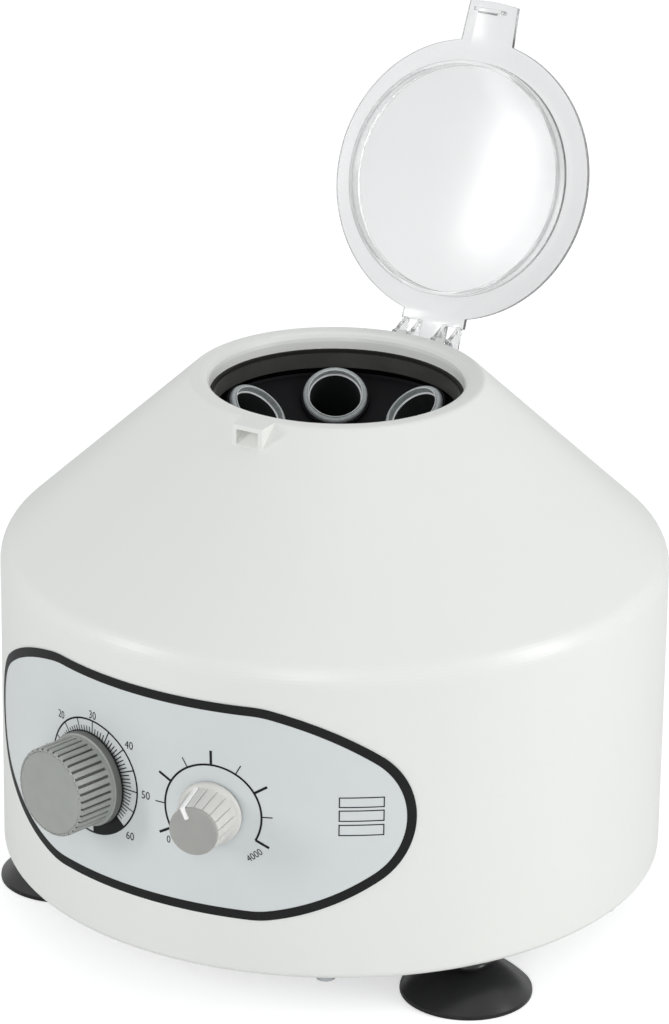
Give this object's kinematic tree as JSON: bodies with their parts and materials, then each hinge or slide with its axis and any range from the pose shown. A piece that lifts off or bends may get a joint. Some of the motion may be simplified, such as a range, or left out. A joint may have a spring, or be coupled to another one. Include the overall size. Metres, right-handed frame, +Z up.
{
  "type": "laboratory tube centrifuge",
  "caption": "Small bench-top laboratory centrifuge with a round conical housing, hinged clear lid, fixed-angle head for test tubes, timer knob and speed knob.",
  "frame": {"origin": "on the spindle axis, in the plane the rubber feet stand on", "axes": "+Z up along the spindle; -Y towards the front with the catch and the controls; +X to the right as seen from the front"},
  "size_m": [0.26, 0.2906, 0.3354],
  "materials": {
    "housing": "glossy off-white moulded plastic",
    "base_metal": "light grey paint",
    "zinc_steel": "zinc plated",
    "foot_rubber": "satin black rubber",
    "panel_sheet": "printed sheet, pale bluish grey",
    "timer_grey": "grey-green satin plastic",
    "clockwork_case": "plain sheet",
    "knob_white": "off-white plastic",
    "knob_grey": "grey plastic",
    "control_case": "dark plastic",
    "lid_clear": "clear moulded plastic",
    "bowl_black": "satin black",
    "soft_rubber": "matt black rubber",
    "head_black": "satin black",
    "sleeve_plastic": "milky translucent plastic",
    "motor_steel": "plain steel",
    "cast_alloy": "as cast",
    "bush_bronze": "sintered bronze",
    "core_steel": "stacked steel sheets",
    "copper_wire": "lacquered copper wire",
    "copper_bars": "bare copper",
    "carbon": "pressed carbon",
    "brass_sheet": "plain brass",
    "shaft_steel": "ground steel",
    "board_green": "circuit board",
    "nylon": "natural nylon",
    "capacitor_blue": "shrunk sleeve",
    "sink_alloy": "extruded",
    "black_plastic": "black plastic",
    "terminal_green": "green plastic"
  },
  "bodies": {
    "housing": {"housing_shell": "housing", "base_plate": "base_metal", "base_screws": "zinc_steel", "foot_left": "foot_rubber", "foot_right": "foot_rubber", "foot_rear": "foot_rubber", "foot_screws": "zinc_steel", "foot_nuts": "zinc_steel", "control_panel": "panel_sheet", "timer_case": "clockwork_case", "timer_nut": "zinc_steel", "speed_case": "control_case", "speed_nut": "zinc_steel", "hinge_pins": "zinc_steel", "chamber_bowl": "bowl_black", "chamber_cover": "bowl_black", "chamber_seal": "soft_rubber", "bowl_posts": "zinc_steel", "bowl_screws": "zinc_steel", "motor_case": "motor_steel", "upper_shield": "cast_alloy", "lower_shield": "cast_alloy", "upper_bush": "bush_bronze", "lower_bush": "bush_bronze", "stator_core": "core_steel", "field_coils": "copper_wire", "carbon_brushes": "carbon", "brush_holders": "brass_sheet", "motor_dampers": "soft_rubber", "motor_screws": "zinc_steel", "control_board": "board_green", "board_pillars": "nylon", "capacitor": "capacitor_blue", "heat_sink": "sink_alloy", "triac": "black_plastic", "terminal_block": "terminal_green", "power_inlet": "black_plastic", "inlet_pins": "brass_sheet", "fuse_holder": "black_plastic", "fuse_cap": "black_plastic"},
    "lid": {"lid": "lid_clear"},
    "rotor": {"rotor_head": "head_black", "rotor_disc": "head_black", "rotor_washer": "zinc_steel", "rotor_nut": "head_black", "armature_core": "core_steel", "armature_winding": "copper_wire", "commutator": "copper_bars", "drive_shaft": "shaft_steel"},
    "timer_dial": {"timer_knob": "timer_grey", "timer_shaft": "zinc_steel"},
    "speed_dial": {"speed_knob": "knob_white", "speed_cap": "knob_grey", "speed_shaft": "zinc_steel"},
    "sleeve_1": {"tube_sleeve_1": "sleeve_plastic"},
    "sleeve_2": {"tube_sleeve_2": "sleeve_plastic"},
    "sleeve_3": {"tube_sleeve_3": "sleeve_plastic"},
    "sleeve_4": {"tube_sleeve_4": "sleeve_plastic"},
    "sleeve_5": {"tube_sleeve_5": "sleeve_plastic"},
    "sleeve_6": {"tube_sleeve_6": "sleeve_plastic"}
  },
  "joints": [
    {"name": "lid_hinge", "type": "hinge", "parent": "housing", "child": "lid", "pos_m": [0, 0.0653, 0.20965], "axis": [1, 0, 0], "range_deg": [0, 110.25]},
    {"name": "rotor_spin", "type": "hinge", "parent": "housing", "child": "rotor", "pos_m": [0, 0, 0.16], "axis": [0, 0, 1], "continuous": true},
    {"name": "timer_turn", "type": "hinge", "parent": "housing", "child": "timer_dial", "pos_m": [-0.03013, -0.12646, 0.0881], "axis": [0.2317, 0.9728, 0], "range_deg": [0, 263]},
    {"name": "speed_turn", "type": "hinge", "parent": "housing", "child": "speed_dial", "pos_m": [0.02414, -0.12774, 0.0879], "axis": [-0.1857, 0.9826, 0], "range_deg": [-95, 143]},
    {"name": "sleeve_1_lift", "type": "slide", "parent": "rotor", "child": "sleeve_1", "axis": [-0.3235, 0.5238, 0.788], "range_m": [0, 0.012]},
    {"name": "sleeve_2_lift", "type": "slide", "parent": "rotor", "child": "sleeve_2", "axis": [-0.6154, -0.0183, 0.788], "range_m": [0, 0.012]},
    {"name": "sleeve_3_lift", "type": "slide", "parent": "rotor", "child": "sleeve_3", "axis": [-0.2919, -0.5421, 0.788], "range_m": [0, 0.012]},
    {"name": "sleeve_4_lift", "type": "slide", "parent": "rotor", "child": "sleeve_4", "axis": [0.3235, -0.5238, 0.788], "range_m": [0, 0.012]},
    {"name": "sleeve_5_lift", "type": "slide", "parent": "rotor", "child": "sleeve_5", "axis": [0.6154, 0.0183, 0.788], "range_m": [0, 0.012]},
    {"name": "sleeve_6_lift", "type": "slide", "parent": "rotor", "child": "sleeve_6", "axis": [0.2919, 0.5421, 0.788], "range_m": [0, 0.012]}
  ]
}
